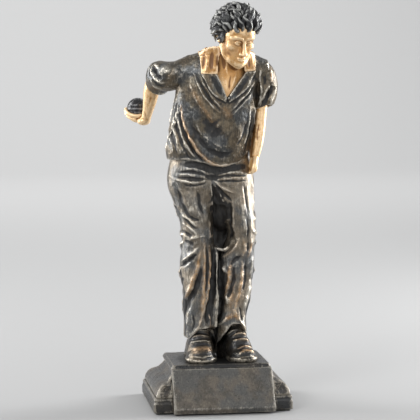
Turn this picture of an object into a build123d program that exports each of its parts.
"""Cast resin trophy: a boules player swinging a boule back, standing on a stepped plinth.

Frame: millimetres, +Z up, origin at the centre of the plinth's underside. The player faces -Y.
The player's right hand, which holds the boule, is on the -X side.
"""
import os

from build123d import *

os.makedirs("parts", exist_ok=True)

# --- Driving dimensions -------------------------------------------------------------------------
FELT = 1.0                      # thickness of the felt under the plinth
SLAB_W, SLAB_D = 82.7, 64.0     # lowest step of the plinth
SLAB_TOP = 9.7
MOULD_TOP = 24.3                # top of the ogee moulding
CAP_W, CAP_D = 59.6, 46.0       # top plate
CAP_TOP = 27.4                  # the surface that the player stands on
CAP_BEVEL, CAP_BEVEL_RISE = 0.85, 1.9
CAP_CORNER = 0.9                # chamfer on the top plate's upright corners
PANEL_W = 60.0                  # blank name panel, leaning back on the plinth's front
PANEL_BACK = -24.0              # Y of the flat seat that the panel is glued to
PANEL_LIP = -38.2               # Y of the panel's foot
PANEL_LIP_TOP = 3.8
PANEL_FACE_FOOT = (-37.4, 4.5)  # Y and Z of the leaning face's lower edge
PANEL_FACE_HEAD = (-24.4, 25.0)     # and of its upper edge

WAIST_Z = 144.0                 # joint between trousers and shirt
SHIRT_TOP = 205.0               # joint between shirt and collar
ARMHOLE_R_X, ARMHOLE_R_Z = -22.0, 184.5
ARMHOLE_L_X, ARMHOLE_L_Z = 21.5, 177.0

BOULE_R = 6.6
BOULE_AT = Vector(-43.3, 33.0, 176.6)

HEAD_AT = Vector(9.4, -19.0, 220.5)     # centre of the skull
HEAD_TURN = 22.0                        # degrees, towards +X
HEAD_NOD = 25.0                         # degrees, chin down

GAP = 0.05                      # radial clearance round every dowel and screw
SCREW_R = 2.0
SCREW_HEAD_R, SCREW_HEAD_H = 3.6, 2.4
SCREW_TIP_Z = 50.0
SCREW_SOCKET_R, SCREW_SOCKET_DEPTH = 1.5, 1.2
SCREW_SEAT_Z = 4.8              # the washers bear here, inside the slab's counterbores
WASHER_R, WASHER_H = 4.4, 0.8
SCREW_COLLAR_Z = SCREW_SEAT_Z - WASHER_H    # where the screw's head meets its shank
SCREW_SPOTS = [(-9.6, 4.0), (10.4, 3.0)]


# --- Helpers ------------------------------------------------------------------------------------
def level_loft(sections):
    """Solid through level ellipses, each (x, y, z, half width, half depth)."""
    with BuildPart() as made:
        for x, y, z, half_width, half_depth in sections:
            with BuildSketch(Plane((x, y, z))):
                Ellipse(half_width, half_depth)
        loft()
    return made.part


def limb_loft(sections, x_dir=(1, 0, 0)):
    """Solid through ellipses square to a path, each (point, direction, half width, half depth)."""
    with BuildPart() as made:
        for point, direction, half_width, half_depth in sections:
            with BuildSketch(Plane(origin=point, x_dir=x_dir, z_dir=direction)):
                Ellipse(half_width, half_depth)
        loft()
    return made.part


def head_loft(sections):
    """Solid along the head's own upright, each section (up, forward, half width, half depth)."""
    with BuildPart() as made:
        for up, forward, half_width, half_depth in sections:
            level = head_plane.offset(up).location * Location((0, -forward, 0))
            with BuildSketch(Plane(level)):
                Ellipse(half_width, half_depth)
        loft()
    return made.part


def rod(start, direction, length, radius):
    """Plain round rod from start along direction."""
    with BuildPart() as made:
        with BuildSketch(Plane(origin=start, z_dir=direction)):
            Circle(radius)
        extrude(amount=length)
    return made.part


def block(low, high):
    """Box between two corners."""
    size = Vector(*high) - Vector(*low)
    with BuildPart() as made:
        with Locations((Vector(*low) + Vector(*high)) / 2):
            Box(size.X, size.Y, size.Z)
    return made.part


def save(part, name):
    part.label = name
    export_step(part, f"parts/{name}.step")


head_plane = Plane(Location(HEAD_AT) * Location((0, 0, 0), (0, 0, 1), HEAD_TURN)
                   * Location((0, 0, 0), (1, 0, 0), HEAD_NOD))

# --- Dowels and screws --------------------------------------------------------------------------
UP = Vector(0, 0, 1)
DOWELS = {
    # name: (start, direction, length, radius)
    "neck_dowel": (Vector(1.6, -4.0, 190.0), Vector(0.2, -0.25, 1.0), 18.0, 1.5),
    "right_shoulder_dowel": (Vector(-28.0, -1.0, 196.5), Vector(1, 0, 0), 12.0, 1.5),
    "left_shoulder_dowel": (Vector(15.5, -3.0, 194.0), Vector(1, 0, 0), 12.0, 1.5),
    "right_arm_dowel": (Vector(-35.8, 11.9, 195.6), Vector(-0.2, 0.5, -1.0), 12.0, 1.25),
    "left_arm_dowel": (Vector(27.0, -5.0, 171.0), UP, 12.0, 1.25),
    "boule_pin": (Vector(BOULE_AT.X, BOULE_AT.Y, 168.2), UP, 5.6, 0.75),
}
WAIST_DOWEL_SPOTS = [(-15.0, 1.0), (8.0, 1.0)]
WAIST_DOWEL_R, WAIST_DOWEL_LENGTH = 2.0, 18.0

dowels = {name: rod(*spec) for name, spec in DOWELS.items()}
dowel_holes = {
    name: rod(start - direction.normalized() * GAP, direction, length + 2 * GAP, radius + GAP)
    for name, (start, direction, length, radius) in DOWELS.items()
}
for name, part in dowels.items():
    save(part, name)

with BuildPart() as waist_dowels:
    with BuildSketch(Plane.XY.offset(WAIST_Z - WAIST_DOWEL_LENGTH / 2)):
        with Locations(*WAIST_DOWEL_SPOTS):
            Circle(WAIST_DOWEL_R)
    extrude(amount=WAIST_DOWEL_LENGTH)
save(waist_dowels.part, "waist_dowels")

with BuildPart() as waist_holes:
    with BuildSketch(Plane.XY.offset(WAIST_Z - WAIST_DOWEL_LENGTH / 2 - GAP)):
        with Locations(*WAIST_DOWEL_SPOTS):
            Circle(WAIST_DOWEL_R + GAP)
    extrude(amount=WAIST_DOWEL_LENGTH + 2 * GAP)

with BuildPart() as fixing_screws:
    with BuildSketch(Plane.XY.offset(SCREW_COLLAR_Z - SCREW_HEAD_H)):
        with Locations(*SCREW_SPOTS):
            Circle(SCREW_HEAD_R)
    extrude(amount=SCREW_HEAD_H)
    with BuildSketch(Plane.XY.offset(SCREW_COLLAR_Z)):
        with Locations(*SCREW_SPOTS):
            Circle(SCREW_R)
    extrude(amount=SCREW_TIP_Z - SCREW_COLLAR_Z)
    with BuildSketch(Plane.XY.offset(SCREW_COLLAR_Z - SCREW_HEAD_H)):
        with Locations(*SCREW_SPOTS):
            RegularPolygon(SCREW_SOCKET_R, 6)
    extrude(amount=SCREW_SOCKET_DEPTH, mode=Mode.SUBTRACT)
save(fixing_screws.part, "fixing_screws")

with BuildPart() as screw_washers:
    with BuildSketch(Plane.XY.offset(SCREW_COLLAR_Z)):
        with Locations(*SCREW_SPOTS):
            Circle(WASHER_R)
            Circle(SCREW_R + GAP, mode=Mode.SUBTRACT)
    extrude(amount=WASHER_H)
save(screw_washers.part, "screw_washers")

with BuildPart() as screw_holes:
    with BuildSketch():
        with Locations(*SCREW_SPOTS):
            Circle(SCREW_R + GAP)
    extrude(amount=SCREW_TIP_Z + GAP)

# --- Plinth -------------------------------------------------------------------------------------
with BuildPart() as felt_pad:
    with BuildSketch():
        RectangleRounded(SLAB_W - 2.4, SLAB_D - 2.4, 2)
    extrude(amount=FELT)
save(felt_pad.part, "felt_pad")

panel_seat = block((-PANEL_W / 2, PANEL_LIP, 0), (PANEL_W / 2, PANEL_BACK, CAP_TOP))

with BuildPart() as plinth_slab:
    with BuildSketch(Plane.XY.offset(FELT)):
        Rectangle(SLAB_W, SLAB_D)
    extrude(amount=SLAB_TOP - FELT)
    chamfer(plinth_slab.edges().filter_by(Axis.Z), 1.2)
    fillet(plinth_slab.faces().sort_by(Axis.Z)[-1].edges(), 0.5)
    add(panel_seat, mode=Mode.SUBTRACT)
    add(screw_holes.part, mode=Mode.SUBTRACT)
    with BuildSketch(Plane.XY.offset(FELT)):
        with Locations(*SCREW_SPOTS):
            Circle(WASHER_R + 0.3)
    extrude(amount=SCREW_SEAT_Z - FELT, mode=Mode.SUBTRACT)
save(plinth_slab.part, "plinth_slab")


def ogee_outline(half_width):
    """Half outline of the moulding: a quarter round below, a hollow above, to a narrow neck."""
    swell = half_width - 1.6        # widest part of the quarter round
    brow = half_width - 7.2         # where the round turns into the hollow
    neck = half_width - 12.4        # under the top plate
    with BuildLine() as line:
        Line((0, SLAB_TOP), (swell, SLAB_TOP))
        Line((swell, SLAB_TOP), (swell, 11.6))
        ThreePointArc((swell, 11.6), (swell - 1.5, 15.4), (brow, 17.4))
        ThreePointArc((brow, 17.4), (neck + 1.6, 20.2), (neck, MOULD_TOP))
        Line((neck, MOULD_TOP), (0, MOULD_TOP))
        Line((0, MOULD_TOP), (0, SLAB_TOP))
    return line.line


with BuildPart() as plinth_moulding:
    with BuildSketch(Plane.XZ):
        make_face(ogee_outline(SLAB_W / 2).edges())
        mirror(about=Plane.YZ)
    extrude(amount=SLAB_D / 2, both=True)
    with BuildSketch(Plane.YZ):
        make_face(ogee_outline(SLAB_D / 2 + 1.4).edges())
        mirror(about=Plane.YZ)
    extrude(amount=SLAB_W / 2, both=True, mode=Mode.INTERSECT)
    add(panel_seat, mode=Mode.SUBTRACT)
    add(screw_holes.part, mode=Mode.SUBTRACT)

with BuildPart() as plinth_cap:
    with BuildSketch(Plane.XY.offset(MOULD_TOP)) as cap_outline:
        Rectangle(CAP_W, CAP_D)
        chamfer(cap_outline.vertices(), CAP_CORNER)
    extrude(amount=CAP_TOP - MOULD_TOP - CAP_BEVEL_RISE)
    with BuildSketch(Plane.XY.offset(CAP_TOP - CAP_BEVEL_RISE)) as bevel_foot:
        Rectangle(CAP_W, CAP_D)
        chamfer(bevel_foot.vertices(), CAP_CORNER)
    with BuildSketch(Plane.XY.offset(CAP_TOP)) as bevel_top:
        Rectangle(CAP_W - 2 * CAP_BEVEL, CAP_D - 2 * CAP_BEVEL)
        chamfer(bevel_top.vertices(), CAP_CORNER)
    loft()
    add(screw_holes.part, mode=Mode.SUBTRACT)
save(plinth_cap.part, "plinth_cap")

PEG_R, PEG_LENGTH, PEG_SPOTS = 1.5, 8.0, [(-18.0, 15.0), (18.0, 15.0)]
with BuildPart() as panel_pegs:
    with BuildSketch(Plane.XZ.offset(-PANEL_BACK - PEG_LENGTH / 2)):
        with Locations(*PEG_SPOTS):
            Circle(PEG_R)
    extrude(amount=PEG_LENGTH)
save(panel_pegs.part, "panel_pegs")

with BuildPart() as peg_holes:
    with BuildSketch(Plane.XZ.offset(-PANEL_BACK - PEG_LENGTH / 2 - GAP)):
        with Locations(*PEG_SPOTS):
            Circle(PEG_R + GAP)
    extrude(amount=PEG_LENGTH + 2 * GAP)

with BuildPart() as name_panel:
    with BuildSketch(Plane.YZ):
        with BuildLine():
            Polyline((PANEL_BACK, FELT), (PANEL_LIP + 0.6, FELT), (PANEL_LIP, FELT + 0.6),
                     (PANEL_LIP, PANEL_LIP_TOP), PANEL_FACE_FOOT, PANEL_FACE_HEAD,
                     (PANEL_BACK, PANEL_FACE_HEAD[1] + 0.4), close=True)
        make_face()
    extrude(amount=PANEL_W / 2, both=True)
    add(peg_holes.part, mode=Mode.SUBTRACT)
save(name_panel.part, "name_panel")

with BuildPart() as moulding_with_pegs:
    add(plinth_moulding.part)
    add(peg_holes.part, mode=Mode.SUBTRACT)
save(moulding_with_pegs.part, "plinth_moulding")


# --- Shoes --------------------------------------------------------------------------------------
def shoe(toe, heel, width):
    """Laced shoe: a flat sole with an upper that rises to the ankle, pointing from heel to toe."""
    along = Vector(*toe) - Vector(*heel)
    middle = (Vector(*toe) + Vector(*heel)) / 2
    lie = Plane(origin=(middle.X, middle.Y, CAP_TOP), x_dir=along, z_dir=(0, 0, 1))
    half = along.length / 2
    with BuildPart() as upper:
        for height, shift, half_length, half_width in (
            (2.8, 0.0, half - 0.7, width / 2 - 0.5),
            (6.5, -2.0, half - 2.6, width / 2 - 0.9),
            (12.0, -5.0, half - 10.0, width / 2 - 2.4),
            (18.0, -5.0, half - 12.0, width / 2 - 3.4),
        ):
            with BuildSketch(Plane(lie.offset(height).location * Location((shift, 0, 0)))):
                Ellipse(half_length, half_width)
        loft()
    with BuildPart() as made:
        with BuildSketch(lie):
            Ellipse(half, width / 2)
        extrude(amount=2.8)
        fillet(made.faces().sort_by(Axis.Z)[-1].edges(), 0.6)
        add(upper.part)
        add(screw_holes.part, mode=Mode.SUBTRACT)
    return made.part


right_shoe = shoe((-11.6, -21.6), (-8.6, 15.4), 18.6)
left_shoe = shoe((16.6, -20.6), (9.0, 14.6), 17.0)
save(right_shoe, "right_shoe")
save(left_shoe, "left_shoe")

# --- Trousers -----------------------------------------------------------------------------------
right_leg = level_loft([
    (-10.2, 2.0, 33.0, 9.4, 12.6), (-10.0, 0.5, 50.0, 9.2, 10.6), (-10.0, 0.0, 62.0, 10.0, 10.6),
    (-10.4, -0.5, 75.0, 11.0, 11.2), (-10.8, -1.5, 88.0, 11.4, 11.6), (-10.6, -3.0, 102.0, 10.6, 11.6),
    (-11.3, -2.0, 112.0, 11.4, 12.4), (-13.2, 0.0, 123.0, 12.8, 13.6), (-14.4, 1.0, 134.0, 13.6, 14.4),
])
left_leg = level_loft([
    (10.4, 2.0, 33.0, 9.2, 12.4), (9.4, 0.5, 50.0, 9.6, 10.4), (10.8, 0.0, 62.0, 10.6, 10.4),
    (12.2, -0.5, 74.0, 11.0, 11.0), (13.0, -1.5, 86.0, 11.0, 11.4), (13.8, -3.0, 98.0, 10.2, 11.6),
    (12.8, -2.0, 110.0, 11.2, 12.4), (10.6, 0.0, 122.0, 12.2, 13.6), (9.0, 1.0, 134.0, 13.2, 14.4),
])
seat = level_loft([
    (-3.0, 1.4, 124.0, 22.0, 12.4), (-3.2, 1.2, 131.0, 24.6, 14.6),
    (-3.4, 1.0, 138.0, 24.8, 15.0), (-3.6, 0.8, WAIST_Z, 23.4, 14.8),
])
HEM_FRONT = (-20.0, 49.0)       # Y and Z on the slant that cuts the hems, ahead of the instep
HEM_BACK = (20.0, 31.5)         # and behind the heel
with BuildPart() as hem_cut:
    with BuildSketch(Plane.YZ):
        with BuildLine():
            Polyline(HEM_FRONT, HEM_BACK, (20.0, 20.0), (-20.0, 20.0), close=True)
        make_face()
    extrude(amount=30, both=True)

with BuildPart() as trousers:
    add(right_leg)
    add(left_leg)
    add(seat)
    add(hem_cut.part, mode=Mode.SUBTRACT)
    add(right_shoe, mode=Mode.SUBTRACT)
    add(left_shoe, mode=Mode.SUBTRACT)
    add(screw_holes.part, mode=Mode.SUBTRACT)
    add(waist_holes.part, mode=Mode.SUBTRACT)
save(trousers.part, "trousers")

# --- Head and neck ------------------------------------------------------------------------------
skull = head_loft([
    (-16.0, 9.4, 3.2, 2.6), (-12.5, 7.0, 6.2, 6.0), (-6.0, 2.2, 8.8, 10.4), (0.0, 0.6, 10.3, 12.4),
    (6.0, -0.6, 10.7, 13.0), (11.0, -1.0, 9.0, 11.0), (14.6, -1.2, 4.8, 6.0),
])
neck = limb_loft([
    (Vector(1.4, -4.0, 197.0), Vector(0.1, -0.15, 1.0), 7.6, 7.2),
    (Vector(3.2, -7.0, 205.0), Vector(0.2, -0.4, 1.0), 6.6, 6.6),
    (Vector(6.6, -12.6, 215.0), Vector(0.25, -0.5, 1.0), 6.6, 6.8),
])
torso = level_loft([
    (-4.7, 0.2, WAIST_Z, 23.8, 16.6), (-5.0, -0.8, 152.0, 25.2, 17.8), (-3.8, -1.8, 162.0, 25.2, 17.4),
    (-2.3, -2.6, 172.0, 24.9, 16.6), (-0.4, -3.6, 186.0, 25.0, 15.8), (2.4, -4.2, 197.0, 25.6, 13.2),
    (3.2, -4.6, SHIRT_TOP, 21.0, 9.6),
])
NECK_V = [(-6.5, 212.0), (13.5, 212.0), (3.5, 185.5)]   # X and Z of the open neckline
with BuildPart() as neckline:
    with BuildSketch(Plane.XZ):
        with BuildLine():
            Polyline(*NECK_V, close=True)
        make_face()
    extrude(amount=30)
    add(block((-10, -9.0, 180), (16, 0.1, 213)), mode=Mode.SUBTRACT)

with BuildPart() as chest:
    add(torso)
    add(neckline.part, mode=Mode.INTERSECT)

with BuildPart() as head:
    add(neck)
    add(chest.part)
    add(skull)
    add(dowel_holes["neck_dowel"], mode=Mode.SUBTRACT)
save(head.part, "head")

hair_mass = head_loft([
    (-8.5, -8.6, 9.6, 5.6), (-2.0, -4.6, 12.4, 10.6), (4.0, -1.6, 14.2, 14.4), (10.0, 0.0, 14.4, 15.2),
    (15.0, 0.2, 11.6, 12.6), (19.0, 0.0, 5.4, 6.4),
])
with BuildPart() as hair:
    add(hair_mass)
    add(head.part, mode=Mode.SUBTRACT)
save(hair.part, "hair")

# --- Shirt --------------------------------------------------------------------------------------
with BuildPart() as shirt:
    add(torso)
    add(neckline.part, mode=Mode.SUBTRACT)
    add(neck, mode=Mode.SUBTRACT)
    add(block((-40, -30, ARMHOLE_R_Z), (ARMHOLE_R_X, 30, 215)), mode=Mode.SUBTRACT)
    add(block((ARMHOLE_L_X, -30, ARMHOLE_L_Z), (45, 30, 215)), mode=Mode.SUBTRACT)
    add(waist_holes.part, mode=Mode.SUBTRACT)
    for hole in ("neck_dowel", "right_shoulder_dowel", "left_shoulder_dowel"):
        add(dowel_holes[hole], mode=Mode.SUBTRACT)
save(shirt.part, "shirt")

right_sleeve_mass = limb_loft([
    (Vector(-36.6, 14.4, 190.6), Vector(0.2, -0.5, 1.0), 6.8, 7.2),
    (Vector(-34.4, 7.4, 196.4), Vector(0.6, -0.8, 0.7), 8.6, 9.0),
    (Vector(-29.4, 1.4, 197.0), Vector(1.0, -0.6, 0.2), 9.8, 9.6),
    (Vector(ARMHOLE_R_X, -2.0, 195.6), Vector(1, 0, 0), 10.4, 9.6),
], x_dir=(0, 1, 0))
with BuildPart() as right_sleeve:
    add(right_sleeve_mass)
    add(block((ARMHOLE_R_X, -30, 180), (0, 30, 215)), mode=Mode.SUBTRACT)
    add(dowel_holes["right_shoulder_dowel"], mode=Mode.SUBTRACT)
    add(dowel_holes["right_arm_dowel"], mode=Mode.SUBTRACT)
save(right_sleeve.part, "right_sleeve")

left_sleeve_mass = level_loft([
    (28.2, -4.8, ARMHOLE_L_Z, 5.8, 6.8), (29.8, -4.4, 184.0, 8.0, 8.2), (29.6, -4.0, 192.0, 8.4, 8.8),
    (27.4, -3.8, 199.0, 8.2, 8.6), (24.4, -3.8, 204.4, 5.2, 6.4),
])
with BuildPart() as left_sleeve:
    add(left_sleeve_mass)
    add(block((0, -30, 170), (ARMHOLE_L_X, 30, 215)), mode=Mode.SUBTRACT)
    add(dowel_holes["left_shoulder_dowel"], mode=Mode.SUBTRACT)
    add(dowel_holes["left_arm_dowel"], mode=Mode.SUBTRACT)
save(left_sleeve.part, "left_sleeve")

# The collar stands on the shirt's top face, round the neck, and is open at the throat.
collar_mass = level_loft([
    (2.9, -4.8, SHIRT_TOP, 12.0, 9.0), (3.2, -5.0, 208.5, 10.6, 9.2), (3.4, -4.8, 212.0, 9.6, 8.8),
])
with BuildPart() as collar:
    add(collar_mass)
    add(neck, mode=Mode.SUBTRACT)
    add(block((-3.0, -20.0, 200.0), (9.4, -7.0, 214.0)), mode=Mode.SUBTRACT)
    add(head.part, mode=Mode.SUBTRACT)
    add(hair.part, mode=Mode.SUBTRACT)
    add(dowel_holes["neck_dowel"], mode=Mode.SUBTRACT)
save(collar.part, "collar")

# --- Arms ---------------------------------------------------------------------------------------
with BuildPart() as boule:
    with Locations(BOULE_AT):
        Sphere(BOULE_R)
    with BuildSketch(Plane(origin=BOULE_AT, x_dir=(1, 0, 0), z_dir=(0, -1, 0))):
        with Locations((BOULE_R, 1.2), (BOULE_R, -1.2)):
            Circle(0.3)
    revolve(axis=Axis(BOULE_AT, (0, 0, 1)), mode=Mode.SUBTRACT)
    add(dowel_holes["boule_pin"], mode=Mode.SUBTRACT)
save(boule.part, "boule")

forearm = limb_loft([
    (Vector(-36.6, 14.4, 190.6), Vector(-0.2, 0.5, -1.0), 4.8, 4.9),
    (Vector(-37.3, 17.6, 184.6), Vector(-0.12, 0.4, -1.0), 4.5, 4.6),
    (Vector(-38.1, 21.2, 177.4), Vector(-0.1, 0.4, -1.0), 3.6, 3.5),
    (Vector(-39.0, 24.0, 170.6), Vector(-0.3, 0.5, -0.9), 3.2, 2.8),
])
hand = level_loft([
    (-40.6, 29.0, 166.4, 4.0, 5.0), (-41.6, 30.0, 168.6, 6.8, 8.4), (-42.0, 30.4, 171.6, 7.2, 9.4),
    (-42.2, 31.0, 174.0, 6.4, 8.6),
])
with BuildPart() as boule_ball:
    with Locations(BOULE_AT):
        Sphere(BOULE_R)
with BuildPart() as right_arm:
    add(forearm)
    add(hand)
    add(boule_ball.part, mode=Mode.SUBTRACT)
    add(dowel_holes["right_arm_dowel"], mode=Mode.SUBTRACT)
    add(dowel_holes["boule_pin"], mode=Mode.SUBTRACT)
save(right_arm.part, "right_arm")

with BuildPart() as left_arm:
    add(level_loft([
        (18.6, -9.6, 137.4, 1.8, 2.4), (19.9, -9.4, 140.0, 2.8, 3.8), (21.6, -8.8, 144.6, 3.2, 4.2),
        (22.6, -8.2, 149.6, 2.7, 3.3), (23.8, -7.6, 154.0, 2.6, 2.9), (25.2, -6.6, 163.0, 3.1, 3.4),
        (26.3, -5.6, 171.0, 3.4, 3.7), (26.8, -5.0, ARMHOLE_L_Z, 3.7, 4.0),
    ]))
    add(dowel_holes["left_arm_dowel"], mode=Mode.SUBTRACT)
save(left_arm.part, "left_arm")
